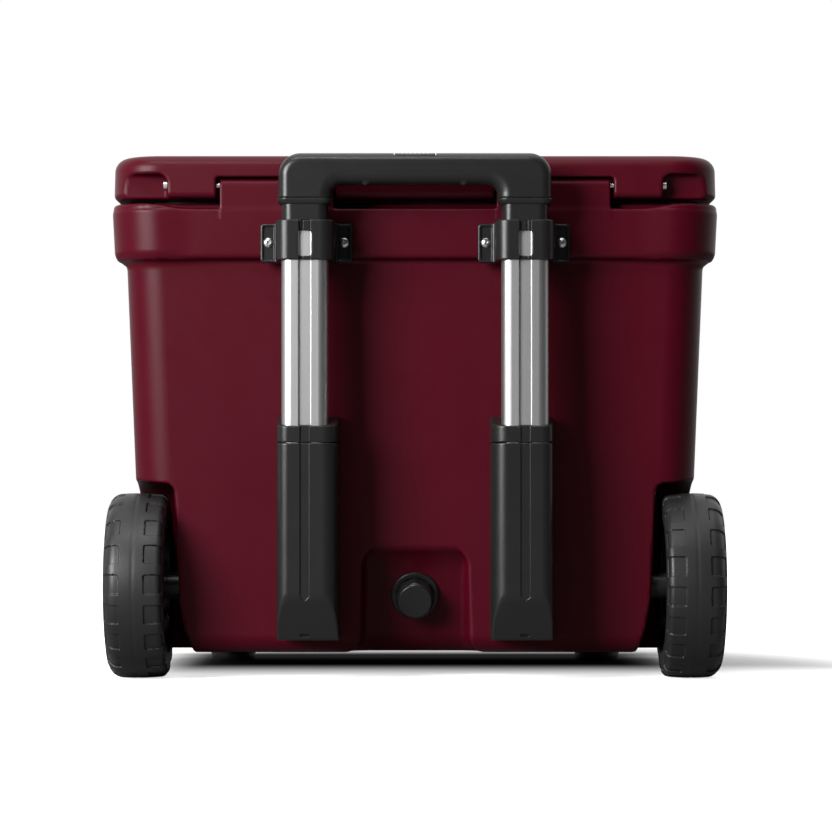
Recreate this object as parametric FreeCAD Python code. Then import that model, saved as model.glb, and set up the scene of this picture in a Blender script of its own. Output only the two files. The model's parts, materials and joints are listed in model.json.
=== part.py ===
"""Wheeled cooler chest with a two-stage telescoping handle.

Millimetres. +X is the chest's width, -Y is the back with the handle and wheels,
+Y is the front with the latches, +Z is up. The origin is on the floor, under the
middle of the overall box. Left means the -X side.
"""
import FreeCAD, Part
import math
import os

from FreeCAD import Vector

os.makedirs("parts", exist_ok=True)

X_AXIS = Vector(1, 0, 0)
SIDES = (("left", -1), ("right", 1))

# ---- Tub ----
TUB_BOTTOM, TUB_RIM, LEDGE_Z = 24.6, 455.0, 449.0
WALL_TOP_Z = 383.0
WALL_HALF_WIDTH, WALL_REAR_Y, WALL_FRONT_Y = 277.5, -186.5, 231.5
DRAFT = 0.0376
WALL_CORNER, TUB_BOTTOM_ROUND = 38.0, 18.0
BAND_BOTTOM = 401.0
BAND_HALF_WIDTH, BAND_REAR_Y, BAND_FRONT_Y = 290.0, -198.5, 243.5
BAND_CORNER = 46.0
SKIN = 4.0
CAVITY_FLOOR = 78.0
CAVITY_WALL = 45.0
CAVITY_CORNER = 28.0

# ---- Lid ----
LID_BOTTOM, LID_TOP = 459.0, 500.0
LID_PLUG_DEPTH = 12.0
LID_OVERHANG_TOP = 14.0

# ---- Lid hinge ----
HINGE_Y, HINGE_Z = -191.5, 471.0
KNUCKLE_RADIUS = 6.0
PIN_RADIUS = 2.5
BLOCK_INNER, BLOCK_OUTER = 77.5, 186.0
PIN_INNER_END, PIN_OUTER_END = 45.0, 236.0
RECESS_OUTER, RECESS_TOP = 280.0, 482.0

# ---- Wheels and axles ----
WHEEL_RADIUS, AXLE_Y = 89.0, -154.5
AXLE_Z = WHEEL_RADIUS
WHEEL_INNER_X, WHEEL_OUTER_X = 237.5, 294.0
WELL_RADIUS = 101.0
AXLE_RADIUS = 6.0
RUNNING_GAP = 0.05
RIM_RADIUS = 63.0
POCKETS, POCKET_DEPTH = 19, 1.2
SPOKES = 6

# ---- Handle ----
TUBE_X, TUBE_Y = 103.2, -237.5
TUBE_WIDTH, TUBE_DEPTH = 44.4, 24.0
CHANNEL_WIDTH, CHANNEL_DEPTH = 12.6, 3.0
TUBE_WALL, STAGE_GAP = 1.6, 0.3
OUTER_TUBE_BOTTOM, OUTER_TUBE_TOP = 84.0, 434.0
GRIP_REAR_Y, GRIP_FRONT_Y = -251.5, -223.5
GRIP_HALF_WIDTH, GRIP_LEG = 128.0, 51.0
GRIP_TOP, GRIP_UNDERSIDE, GRIP_LIP_TOP, GRIP_BOTTOM = 496.6, 467.0, 454.0, 448.4
BUTTON_HALF_WIDTH, BUTTON_TRAVEL = 19.0, 4.0
MIDDLE_BOTTOM, MIDDLE_TOP, NECK_SPLIT = 88.0, 448.0, 441.0
INNER_BOTTOM, INNER_TOP = 95.0, 470.0
NECK_WIDTH, NECK_DEPTH, OVAL_RADIUS = 43.5, 23.0, 9.5
ROD_Y, LOCK_Z = -236.0, 106.0
RELEASE_BAR_LOW, RELEASE_BAR_HIGH, SPRING_SEAT = 482.0, 489.0, 471.0

# ---- Handle brackets and sockets ----
BRACKET_BOTTOM, BRACKET_TOP = 396.2, 434.0
SOCKET_BOTTOM, COLLAR_BOTTOM, COLLAR_TOP = 40.0, 225.4, 250.6
SOCKET_OUTER, SOCKET_INNER = 26.3, 31.7

# ---- Drain ----
DRAIN_Z, DRAIN_FACE_Y, DRAIN_TILT = 80.0, -155.0, 13.3
RECESS_HALF_WIDTH, RECESS_LOW, RECESS_HIGH, RECESS_ROUND = 51.0, 43.4, 124.9, 16.0
RECESS_COVE_LOW = 97.0
DRAIN_BORE = 9.0

# ---- Feet and latches ----
FOOT_X, FOOT_Y, FOOT_RADIUS = 193.5, 160.0, 23.5
LATCH_X, LATCH_HALF_WIDTH = 130.0, 24.0
LATCH_PIVOT_Y, LATCH_PIVOT_Z = 236.0, 480.0
LATCH_POCKET_LOW = 389.0
CATCH_LOW, CATCH_HIGH, CATCH_HALF_WIDTH = 409.0, 440.0, 20.0

# ---- Screws and inserts ----
FOOT_SCREW_RADIUS = 3.0
AXLE_INSERT_RADIUS, AXLE_INSERT_END = 11.0, 204.0
BRACKET_SCREW_X, BRACKET_SCREW_Z, BRACKET_SCREW_RADIUS = 36.0, 415.6, 2.5
BRACKET_INSERT_RADIUS, BRACKET_INSERT_LENGTH = 5.0, 18.0
SOCKET_SCREW_HEIGHTS = (110.0, 190.0)
CATCH_SCREW_Z, CATCH_SCREW_X, CATCH_SCREW_RADIUS = 418.0, 12.0, 2.0


# ---------------------------------------------------------------- helpers
def box(x0, x1, y0, y1, z0, z1):
    return Part.makeBox(x1 - x0, y1 - y0, z1 - z0, Vector(x0, y0, z0))


def rod(radius, start, end):
    axis = end.sub(start)
    return Part.makeCylinder(radius, axis.Length, start, axis)


def pipe(outer, inner, start, end):
    return rod(outer, start, end).cut(rod(inner, start, end))


def outline(x0, x1, y0, y1, radius, z):
    """A rectangle with round corners, flat at height z."""
    d = radius * (1 - math.sqrt(0.5))
    corners = [(x1, y0, -1, 1), (x1, y1, -1, -1), (x0, y1, 1, -1), (x0, y0, 1, 1)]
    arcs = []
    for index, (cx, cy, sx, sy) in enumerate(corners):
        on_x = Vector(cx + sx * radius, cy, z)
        on_y = Vector(cx, cy + sy * radius, z)
        middle = Vector(cx + sx * d, cy + sy * d, z)
        first, last = (on_x, on_y) if index % 2 == 0 else (on_y, on_x)
        arcs.append((first, middle, last))
    edges = []
    for index, (first, middle, last) in enumerate(arcs):
        following = arcs[(index + 1) % 4][0]
        edges.append(Part.Arc(first, middle, last).toShape())
        edges.append(Part.LineSegment(last, following).toShape())
    return Part.Wire(edges)


def tapered(lower, upper, corner):
    """Block between two level rectangles (x0, x1, y0, y1, z), with round upright corners."""
    ax0, ax1, ay0, ay1, az = lower
    bx0, bx1, by0, by1, bz = upper
    block = Part.makeWedge(ax0, az, -ay1, -by1, bx0, ax1, bz, -ay0, -by0, bx1)
    block.rotate(Vector(0, 0, 0), X_AXIS, 90)
    upright = edges_where(block, lambda b: b.ZLength > (bz - az) / 2)
    return block.makeFillet(corner, upright)


def prism(points, direction):
    """Solid swept from a polygon along a vector."""
    return Part.Face(Part.makePolygon(points + [points[0]])).extrude(direction)


def edges_where(shape, test):
    return [edge for edge in shape.Edges if test(edge.BoundBox)]


def flat_at(z):
    return lambda b: abs(b.ZMin - z) < 0.01 and abs(b.ZMax - z) < 0.01


def on_side(shape_right, sign):
    """A shape made for the right side, or its mirror image for the left."""
    return shape_right if sign > 0 else shape_right.mirror(Vector(0, 0, 0), X_AXIS)


def fused(shapes):
    result = shapes[0]
    for shape in shapes[1:]:
        result = result.fuse(shape)
    return result.removeSplitter()


def save(name, shape):
    if isinstance(shape, list):
        shape = Part.makeCompound(shape)
    shape.exportStep("parts/" + name + ".step")
    state = "" if shape.isValid() else "  INVALID"
    print(name, len(shape.Solids), round(shape.Volume / 1000, 2), "cm3" + state)


# ---------------------------------------------------------------- tub
def wall_rect(z, inset=0.0):
    lean = (WALL_TOP_Z - z) * DRAFT + inset
    half = WALL_HALF_WIDTH - lean
    return -half, half, WALL_REAR_Y + lean, WALL_FRONT_Y - lean, z


def wall_block(z0, z1, inset=0.0, inset_top=None):
    """Tapered block parallel to the tub's walls."""
    top = inset if inset_top is None else inset_top
    return tapered(wall_rect(z0, inset), wall_rect(z1, top), WALL_CORNER - inset * 0.4)


def wall_rear_at(z):
    return WALL_REAR_Y + (WALL_TOP_Z - z) * DRAFT


def band_block(z0, z1):
    half = BAND_HALF_WIDTH
    block = box(-half, half, BAND_REAR_Y, BAND_FRONT_Y, z0, z1)
    return block.makeFillet(BAND_CORNER, edges_where(block, lambda b: b.ZLength > 1))


def tub_outside():
    wall = wall_block(TUB_BOTTOM, TUB_RIM - 10)
    wall = wall.makeFillet(TUB_BOTTOM_ROUND, edges_where(wall, flat_at(TUB_BOTTOM)))
    band = band_block(BAND_BOTTOM, TUB_RIM)
    band = band.makeFillet(5, edges_where(band, flat_at(BAND_BOTTOM)))
    band = band.makeFillet(2.5, edges_where(band, flat_at(TUB_RIM)))
    cove = wall_block(BAND_BOTTOM - 16, BAND_BOTTOM + 6, 0.0, -7.0)
    return fused([wall, cove, band])


def core_prism(grow=0.0):
    """The narrow part of the tub that stands between the wheels."""
    profile = [(200, -40), (213, TUB_BOTTOM), (221, 47), (226, 76), (230.4, 178), (232, 240)]
    right = [Vector(x + grow, -300, z) for x, z in profile]
    left = [Vector(-x - grow, -300, z) for x, z in reversed(profile)]
    return prism(right + left, Vector(0, 600, 0))


def well_cut(grow=0.0):
    """Both wheel wells, open to the side, the back and the bottom."""
    wells = []
    for _, sign in SIDES:
        start = Vector(sign * 190, AXLE_Y, AXLE_Z)
        wells.append(rod(WELL_RADIUS + grow, start, Vector(sign * 310, AXLE_Y, AXLE_Z)))
    return Part.makeCompound(wells).cut(core_prism(-grow))


def recess_face_at(z):
    """The recess's face overhangs, so that the drain on it points down and back."""
    return DRAIN_FACE_Y + (DRAIN_Z - z) * math.tan(math.radians(DRAIN_TILT))


def drain_recess(grow=0.0):
    """Pocket round the drain, open at the bottom, with a cove at the top."""
    half, high, out = RECESS_HALF_WIDTH + grow, RECESS_HIGH + grow, WALL_REAR_Y - 40
    low_y, cove_y = recess_face_at(RECESS_LOW) + grow, recess_face_at(RECESS_COVE_LOW) + grow
    rise = high - RECESS_COVE_LOW
    corners = [(out, TUB_BOTTOM - 10), (low_y + 18, TUB_BOTTOM - 10), (low_y + 12, TUB_BOTTOM),
               (low_y, RECESS_LOW), (cove_y, RECESS_COVE_LOW),
               (cove_y - 2.5, RECESS_COVE_LOW + rise * 0.5),
               (cove_y - 8, RECESS_COVE_LOW + rise * 0.86), (cove_y - 16, high), (out, high)]
    pocket = prism([Vector(-half, y, z) for y, z in corners], Vector(2 * half, 0, 0))
    top_corners = [edge for edge in pocket.Edges
                   if edge.BoundBox.ZMin > high - 0.01 and 0 < edge.BoundBox.YLength
                   and edge.BoundBox.XLength < 0.01]
    return pocket.makeFillet(RECESS_ROUND - 2, top_corners)


def cavity(grow=0.0):
    """The space for food and ice, with a bump over each wheel."""
    inset = CAVITY_WALL - grow
    lower, upper = CAVITY_FLOOR - grow, TUB_RIM + 30
    room = wall_block(lower, upper, inset)
    room = room.makeFillet(CAVITY_CORNER * 0.6, edges_where(room, flat_at(lower)))
    for _, sign in SIDES:
        start = Vector(sign * (192 + grow), AXLE_Y, AXLE_Z)
        room = room.cut(rod(WELL_RADIUS + 32 - grow, start, Vector(sign * 330, AXLE_Y, AXLE_Z)))
    return room


def on_drain(shape):
    """Moves a shape made along +Z onto the drain's leaning axis, pointing out."""
    placed = shape.copy()
    placed.rotate(Vector(0, 0, 0), X_AXIS, 90 + DRAIN_TILT)
    placed.translate(Vector(0, recess_face_at(DRAIN_Z), DRAIN_Z))
    return placed


def hinge_block(x0, x1):
    """Upright block with a round top that carries a hinge pin."""
    knuckle = rod(KNUCKLE_RADIUS, Vector(x0, HINGE_Y, HINGE_Z), Vector(x1, HINGE_Y, HINGE_Z))
    post = box(x0, x1, HINGE_Y - KNUCKLE_RADIUS, HINGE_Y + KNUCKLE_RADIUS, LEDGE_Z - 3, HINGE_Z)
    return knuckle.fuse(post)


def latch_pocket(x, z0, z1):
    """Slot in the front face that a latch hangs in."""
    half = LATCH_HALF_WIDTH + 5
    return box(x - half, x + half, LATCH_PIVOT_Y - 8, BAND_FRONT_Y + 20, z0, z1)


def side_grip(sign, grow=0.0):
    """Finger pocket under the band: a dish in the wall that runs up behind the band."""
    inner, lip = BAND_HALF_WIDTH - 22 - grow, BAND_HALF_WIDTH - 9
    low, high, reach = BAND_BOTTOM - 30 - grow, BAND_BOTTOM + 26 + grow, 70 + grow
    pocket = box(inner, lip + grow, -reach, reach, low, high)
    mouth = box(inner, BAND_HALF_WIDTH + 10, -reach, reach, low, BAND_BOTTOM)
    return on_side(pocket.fuse(mouth).removeSplitter(), sign)


def bracket_screw_places():
    return [(sign * TUBE_X + offset, BRACKET_SCREW_Z) for _, sign in SIDES
            for offset in (-BRACKET_SCREW_X, BRACKET_SCREW_X)]


def socket_screw_places():
    return [(sign * TUBE_X, z) for _, sign in SIDES for z in SOCKET_SCREW_HEIGHTS]


def catch_screw_places():
    return [(sign * LATCH_X + offset, CATCH_SCREW_Z) for _, sign in SIDES
            for offset in (-CATCH_SCREW_X, CATCH_SCREW_X)]


def fastener_holes():
    """Everything that is sunk into the tub's walls."""
    holes = []
    for _, sign in SIDES:
        foot = Vector(sign * FOOT_X, FOOT_Y, TUB_BOTTOM - 5)
        holes.append(rod(FOOT_SCREW_RADIUS, foot, foot + Vector(0, 0, 30)))
        start = Vector(sign * AXLE_INSERT_END, AXLE_Y, AXLE_Z)
        holes.append(rod(AXLE_INSERT_RADIUS, start, Vector(sign * 250, AXLE_Y, AXLE_Z)))
    for x, z in bracket_screw_places():
        start = Vector(x, BAND_REAR_Y - 1, z)
        holes.append(rod(BRACKET_INSERT_RADIUS, start, start + Vector(0, BRACKET_INSERT_LENGTH + 1, 0)))
    for x, z in socket_screw_places():
        start = Vector(x, wall_rear_at(z) - 10, z)
        holes.append(rod(2.5, start, start + Vector(0, 30, 0)))
    for x, z in catch_screw_places():
        start = Vector(x, LATCH_PIVOT_Y, z)
        holes.append(rod(CATCH_SCREW_RADIUS, start, start - Vector(0, 22, 0)))
    holes.append(on_drain(rod(13.0, Vector(0, 0, -50), Vector(0, 0, 5))))
    return holes


def build_tub():
    outside = tub_outside()
    ledge = box(-260, 260, BAND_REAR_Y - 5, BAND_REAR_Y + 18, LEDGE_Z, TUB_RIM + 5)
    shell = outside.cut(ledge)
    for x in (-LATCH_X, LATCH_X):
        shell = shell.cut(latch_pocket(x, LATCH_POCKET_LOW, TUB_RIM + 5))
    for _, sign in SIDES:
        shell = shell.cut(side_grip(sign))
        inner, outer = sorted((sign * BLOCK_INNER, sign * BLOCK_OUTER))
        shell = shell.fuse(hinge_block(inner, outer))
        pin = rod(PIN_RADIUS, Vector(inner, HINGE_Y, HINGE_Z), Vector(outer, HINGE_Y, HINGE_Z))
        shell = shell.cut(pin)
    shell = shell.cut(well_cut()).cut(drain_recess()).cut(cavity())

    foam = wall_block(TUB_BOTTOM + SKIN, LEDGE_Z - SKIN - 3, SKIN)
    foam = foam.makeFillet(TUB_BOTTOM_ROUND - SKIN, edges_where(foam, flat_at(TUB_BOTTOM + SKIN)))
    foam = foam.cut(cavity(SKIN)).cut(well_cut(SKIN)).cut(drain_recess(SKIN))
    for _, sign in SIDES:
        foam = foam.cut(side_grip(sign, SKIN))
    for x in (-LATCH_X, LATCH_X):
        pocket = latch_pocket(x, LATCH_POCKET_LOW - SKIN, TUB_RIM + 5)
        pocket.translate(Vector(0, -SKIN, 0))
        foam = foam.cut(pocket)
    shell = shell.cut(foam)
    for hole in fastener_holes():
        shell = shell.cut(hole)
        foam = foam.cut(hole)
    save("tub_shell", shell)
    save("tub_foam", foam)
    return outside


def build_drain():
    tube = pipe(13.0, DRAIN_BORE + RUNNING_GAP, Vector(0, 0, -50), Vector(0, 0, 0))
    flange = pipe(23.0, DRAIN_BORE + RUNNING_GAP, Vector(0, 0, 0), Vector(0, 0, 4))
    flange = flange.makeChamfer(1.2, [e for e in flange.Edges if abs(e.BoundBox.ZMin - 4) < 0.01
                                      and e.BoundBox.XLength > 40])
    save("drain_fitting", fused([on_drain(tube).cut(cavity()), on_drain(flange)]))
    seal = pipe(15.5, DRAIN_BORE + RUNNING_GAP, Vector(0, 0, 4), Vector(0, 0, 6))
    save("drain_seal", on_drain(seal))
    corners = [Vector(19.6 * math.cos(math.radians(60 * k)), 19.6 * math.sin(math.radians(60 * k)), 6)
               for k in range(6)]
    knob = prism(corners, Vector(0, 0, 20)).common(rod(18.6, Vector(0, 0, 6), Vector(0, 0, 26)))
    knob = knob.common(Part.makeCone(27.0, 15.8, 20, Vector(0, 0, 6)))
    stem = rod(DRAIN_BORE, Vector(0, 0, -26), Vector(0, 0, 8))
    save("drain_plug", on_drain(fused([knob, stem])))


def build_feet():
    screws = []
    for name, sign in SIDES:
        base = Vector(sign * FOOT_X, FOOT_Y, 0)
        foot = rod(FOOT_RADIUS, base, base + Vector(0, 0, TUB_BOTTOM))
        foot = foot.makeFillet(5, edges_where(foot, flat_at(0)))
        foot = foot.cut(rod(7.0, base, base + Vector(0, 0, 12)))
        foot = foot.cut(rod(FOOT_SCREW_RADIUS, base, base + Vector(0, 0, 30)))
        save("foot_" + name, foot)
        shank = rod(FOOT_SCREW_RADIUS, base + Vector(0, 0, 12), base + Vector(0, 0, 49))
        head = rod(6.0, base + Vector(0, 0, 8), base + Vector(0, 0, 12))
        screws.append(head.fuse(shank))
    save("foot_screws", screws)


# ---------------------------------------------------------------- lid
def lid_upper_foam():
    """Foam above the rim, clear of the hinge notches and latch pockets."""
    half = BAND_HALF_WIDTH - 14
    rear, front = BAND_REAR_Y + 26, LATCH_PIVOT_Y - 14
    block = box(-half, half, rear, front, LID_BOTTOM + SKIN + 1, LID_TOP - 6)
    return block.makeFillet(BAND_CORNER - 14, edges_where(block, lambda b: b.ZLength > 1))


def build_lid():
    block = band_block(LID_BOTTOM, LID_TOP)
    block = block.makeFillet(LID_OVERHANG_TOP, edges_where(block, flat_at(LID_TOP)))
    block = block.makeFillet(2.5, edges_where(block, flat_at(LID_BOTTOM)))
    plug = wall_block(LID_BOTTOM - LID_PLUG_DEPTH, LID_BOTTOM + 5, CAVITY_WALL + 9, CAVITY_WALL + 6)
    shell = fused([block, plug])
    front = HINGE_Y + KNUCKLE_RADIUS + 3
    for _, sign in SIDES:
        notch = box(BLOCK_INNER - 2, BLOCK_OUTER + 3, BAND_REAR_Y - 5, front, LID_BOTTOM - 5, HINGE_Z + 8)
        shell = shell.cut(on_side(notch, sign))
        scoop = box(PIN_OUTER_END, RECESS_OUTER, BAND_REAR_Y - 5, HINGE_Y + 8, LID_BOTTOM - 5, RECESS_TOP)
        outer_top = [e for e in scoop.Edges if e.BoundBox.XMin > RECESS_OUTER - 0.01
                     and e.BoundBox.ZMin > RECESS_TOP - 0.01]
        shell = shell.cut(on_side(scoop.makeFillet(8, outer_top), sign))
        bore = rod(PIN_RADIUS + RUNNING_GAP, Vector(sign * (PIN_INNER_END - 1), HINGE_Y, HINGE_Z),
                   Vector(sign * (PIN_OUTER_END + 5), HINGE_Y, HINGE_Z))
        shell = shell.cut(bore)
        pocket = latch_pocket(sign * LATCH_X, LID_BOTTOM - 5, LID_TOP + 5)
        shell = shell.cut(pocket)
        pin = latch_pin(sign, 0)
        shell = shell.cut(pin)
    plug_foam = wall_block(LID_BOTTOM - LID_PLUG_DEPTH + SKIN, LID_TOP - 6,
                           CAVITY_WALL + 14, CAVITY_WALL + 8)
    foam = fused([plug_foam, lid_upper_foam()])
    save("lid_shell", shell.cut(foam))
    save("lid_foam", foam)
    seal_low, seal_high = LID_BOTTOM - 4, LID_BOTTOM
    ring = wall_block(seal_low, seal_high, 27)
    save("lid_gasket", ring.cut(wall_block(seal_low, seal_high, 35)))


def latch_pin(sign, gap):
    reach = LATCH_HALF_WIDTH + 12
    start = Vector(sign * LATCH_X - reach, LATCH_PIVOT_Y, LATCH_PIVOT_Z)
    return rod(2.5 + gap, start, start + Vector(2 * reach, 0, 0))


def build_hinge_pins():
    pins = []
    for _, sign in SIDES:
        inner = Vector(sign * PIN_INNER_END, HINGE_Y, HINGE_Z)
        outer = Vector(sign * (PIN_OUTER_END + 0.3), HINGE_Y, HINGE_Z)
        head = rod(4.4, outer, outer + Vector(sign * 3.2, 0, 0))
        pins.append(rod(PIN_RADIUS, inner, outer + Vector(sign, 0, 0)).fuse(head))
    save("hinge_pins", pins)


def build_latch(name, x):
    """Pull that hangs from the lid's pin and hooks under the catch."""
    low, high = x - LATCH_HALF_WIDTH, x + LATCH_HALF_WIDTH
    y0, y1 = LATCH_PIVOT_Y + 3.5, LATCH_PIVOT_Y + 15.5
    arm = box(low, high, y0, y1 - 3, 404, LATCH_PIVOT_Z)
    eye = rod(6.0, Vector(low, LATCH_PIVOT_Y, LATCH_PIVOT_Z), Vector(high, LATCH_PIVOT_Y, LATCH_PIVOT_Z))
    pull = box(low, high, y0, y1, 396, 410)
    knuckle = box(low, high, LATCH_PIVOT_Y, y1 - 3, LATCH_PIVOT_Z - 6, LATCH_PIVOT_Z)
    latch = fused([arm, eye, pull, knuckle])
    save("latch_" + name, latch.cut(latch_pin(math.copysign(1, x), RUNNING_GAP)))


def build_catch(name, x):
    """Plate with a ledge, screwed to the tub; returns its two screws."""
    face = LATCH_PIVOT_Y - 8
    west, east = x - CATCH_HALF_WIDTH, x + CATCH_HALF_WIDTH
    plate = box(west, east, face, face + 3, CATCH_LOW, CATCH_HIGH)
    catch = plate.fuse(box(west, east, face, face + 9, CATCH_HIGH - 10, CATCH_HIGH - 4))
    screws = []
    for offset in (-CATCH_SCREW_X, CATCH_SCREW_X):
        seat = Vector(x + offset, face + 3, CATCH_SCREW_Z)
        shank = rod(CATCH_SCREW_RADIUS, seat - Vector(0, 15, 0), seat)
        catch = catch.cut(shank)
        screws.append(rod(3.6, seat, seat + Vector(0, 2.5, 0)).fuse(shank))
    save("catch_" + name, catch)
    return screws


def build_latches():
    save("latch_pins", [latch_pin(sign, 0) for _, sign in SIDES])
    screws = []
    for name, sign in SIDES:
        build_latch(name, sign * LATCH_X)
        screws += build_catch(name, sign * LATCH_X)
    save("catch_screws", screws)


# ---------------------------------------------------------------- wheels
def wheel_profile(points):
    """Solid of revolution about the axle from (x, radius) points of the right wheel."""
    face = Part.Face(Part.makePolygon([Vector(x, AXLE_Y, AXLE_Z + r) for x, r in points + [points[0]]]))
    return face.revolve(Vector(0, AXLE_Y, AXLE_Z), X_AXIS, 360)


def build_wheel(name, sign):
    x0, x1 = WHEEL_INNER_X, WHEEL_OUTER_X
    full = rod(WHEEL_RADIUS, Vector(x0, AXLE_Y, AXLE_Z), Vector(x1, AXLE_Y, AXLE_Z))
    full = full.makeFillet(9, [e for e in full.Edges if e.BoundBox.XLength < 0.01])
    tyre = full.cut(rod(RIM_RADIUS, Vector(x0, AXLE_Y, AXLE_Z), Vector(x1, AXLE_Y, AXLE_Z)))
    pockets = []
    for k in range(POCKETS):
        angle = 360.0 * k / POCKETS
        for start in (x0 - 1, x1 - 16.0):
            pocket = box(start, start + 17.0, AXLE_Y - 9.2, AXLE_Y + 9.2,
                         AXLE_Z + WHEEL_RADIUS - POCKET_DEPTH, AXLE_Z + WHEEL_RADIUS + 3)
            pocket.rotate(Vector(0, AXLE_Y, AXLE_Z), X_AXIS, angle)
            pockets.append(pocket)
    save("tyre_" + name, on_side(tyre.cut(Part.makeCompound(pockets)), sign))

    rim = wheel_profile([(x0 + 4, RIM_RADIUS - 5), (x1 - 6, RIM_RADIUS - 5), (x1 - 3, RIM_RADIUS),
                         (x0 + 1, RIM_RADIUS)])
    hub = wheel_profile([(x0 + 5, 9), (x1 - 10, 9), (x1 - 10, 18), (x0 + 5, 20)])
    spokes = []
    for k in range(SPOKES):
        spoke = box(x0 + 14, x1 - 16, AXLE_Y - 5.5, AXLE_Y + 5.5, AXLE_Z + 15, AXLE_Z + RIM_RADIUS - 3)
        spoke.rotate(Vector(0, AXLE_Y, AXLE_Z), X_AXIS, 360.0 * k / SPOKES)
        spokes.append(spoke)
    save("rim_" + name, on_side(fused([rim, hub] + spokes), sign))
    ends = Vector(x0 + 5, AXLE_Y, AXLE_Z), Vector(x1 - 10, AXLE_Y, AXLE_Z)
    bush = pipe(9.0, AXLE_RADIUS + RUNNING_GAP, *ends)
    save("wheel_bush_" + name, on_side(bush, sign))


def build_axles(outside):
    inserts = []
    for name, sign in SIDES:
        root = Vector(AXLE_INSERT_END + 4, AXLE_Y, AXLE_Z)
        tip = Vector(WHEEL_OUTER_X - 9.7, AXLE_Y, AXLE_Z)
        head = rod(11.0, tip, tip + Vector(5, 0, 0))
        head = head.makeFillet(2, [e for e in head.Edges if e.BoundBox.XMin > tip.x + 4.9])
        save("axle_" + name, on_side(rod(AXLE_RADIUS, root, tip + Vector(1, 0, 0)).fuse(head), sign))
        wall = core_prism()
        start = Vector(AXLE_INSERT_END, AXLE_Y, AXLE_Z)
        insert = rod(AXLE_INSERT_RADIUS, start, Vector(250, AXLE_Y, AXLE_Z))
        insert = insert.common(wall).cut(rod(AXLE_RADIUS, root, tip))
        inserts.append(on_side(insert, sign))
        spacer = pipe(12.5, AXLE_RADIUS, Vector(220, AXLE_Y, AXLE_Z),
                      Vector(WHEEL_INNER_X + 4.9, AXLE_Y, AXLE_Z))
        save("axle_spacer_" + name, on_side(spacer.cut(wall), sign))
    save("axle_inserts", inserts)


# ---------------------------------------------------------------- handle
def tube_face(x, width, depth, channel, z):
    """Flat oval with a channel sunk into its back face."""
    radius = min(depth / 2 - 0.5, OVAL_RADIUS)
    rear, front = TUBE_Y - depth / 2, TUBE_Y + depth / 2
    face = Part.Face(outline(x - width / 2, x + width / 2, rear, front, radius, z))
    if channel:
        groove = Part.Face(outline(x - channel / 2, x + channel / 2, rear - CHANNEL_DEPTH,
                                   rear + CHANNEL_DEPTH, 1.0, z))
        face = face.cut(groove).Faces[0]
    return face


def stage_size(stage, inside):
    """Width, depth and channel of a handle stage, outside or inside its wall."""
    step = stage * 2 * (TUBE_WALL + STAGE_GAP) + (2 * TUBE_WALL if inside else 0)
    return TUBE_WIDTH - step, TUBE_DEPTH - step, CHANNEL_WIDTH + step


def tube_bar(sign, stage, inside, z0, z1, gap=0.0):
    width, depth, channel = stage_size(stage, inside)
    face = tube_face(sign * TUBE_X, width + 2 * gap, depth + 2 * gap, channel - 2 * gap, z0)
    return face.extrude(Vector(0, 0, z1 - z0))


def tube(sign, stage, z0, z1):
    return tube_bar(sign, stage, False, z0, z1).cut(tube_bar(sign, stage, True, z0, z1))


def plain_bar(sign, width, depth, radius, z0, z1):
    x = sign * TUBE_X
    wire = outline(x - width / 2, x + width / 2, TUBE_Y - depth / 2, TUBE_Y + depth / 2, radius, z0)
    return Part.Face(wire).extrude(Vector(0, 0, z1 - z0))




def grip_block():
    """The solid U of the grip, before it is hollowed."""
    half, y0, y1 = GRIP_HALF_WIDTH, GRIP_REAR_Y, GRIP_FRONT_Y
    body = box(-half, half, y0, y1, GRIP_LIP_TOP, GRIP_TOP)
    gap = box(-half + GRIP_LEG, half - GRIP_LEG, y0 - 1, y1 + 1, GRIP_LIP_TOP - 1, GRIP_UNDERSIDE)
    body = body.cut(gap)
    along_y = [e for e in body.Edges if e.BoundBox.YLength > 20]
    outer = [e for e in along_y if e.BoundBox.ZMin > GRIP_TOP - 0.01]
    body = body.makeFillet(21, outer)
    inner = [e for e in body.Edges if e.BoundBox.YLength > 20 and flat_at(GRIP_UNDERSIDE)(e.BoundBox)]
    body = body.makeFillet(9, inner)
    rounded = [e for e in body.Edges if e.BoundBox.YLength < 0.01 and e.BoundBox.ZMax > GRIP_LIP_TOP + 0.1]
    return body.makeFillet(8, rounded)


def build_handle():
    for name, sign in SIDES:
        save("outer_tube_" + name, tube(sign, 0, OUTER_TUBE_BOTTOM, OUTER_TUBE_TOP))
        bush = plain_bar(sign, NECK_WIDTH, NECK_DEPTH, OVAL_RADIUS, OUTER_TUBE_TOP, NECK_SPLIT)
        bush = bush.cut(tube_bar(sign, 1, False, OUTER_TUBE_TOP, NECK_SPLIT, RUNNING_GAP))
        save("tube_bush_" + name, bush)
        save("middle_tube_" + name, tube(sign, 1, MIDDLE_BOTTOM, MIDDLE_TOP))
        collar = plain_bar(sign, NECK_WIDTH, NECK_DEPTH, OVAL_RADIUS, NECK_SPLIT, GRIP_BOTTOM)
        collar = collar.cut(tube_bar(sign, 1, False, NECK_SPLIT, MIDDLE_TOP))
        collar = collar.cut(tube_bar(sign, 2, False, MIDDLE_TOP - 1, GRIP_BOTTOM, RUNNING_GAP))
        save("middle_collar_" + name, collar)
        save("inner_tube_" + name, build_inner_tube(sign))
        build_glide(name, sign)
    build_grip()


def lock_bore(sign, gap):
    start = Vector(sign * TUBE_X, ROD_Y - 1, LOCK_Z)
    return rod(3.0 + gap, start, start + Vector(0, 12, 0))


def build_inner_tube(sign):
    body = tube(sign, 2, INNER_BOTTOM, INNER_TOP).cut(lock_bore(sign, RUNNING_GAP))
    return body.cut(grip_pin(sign))


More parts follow.
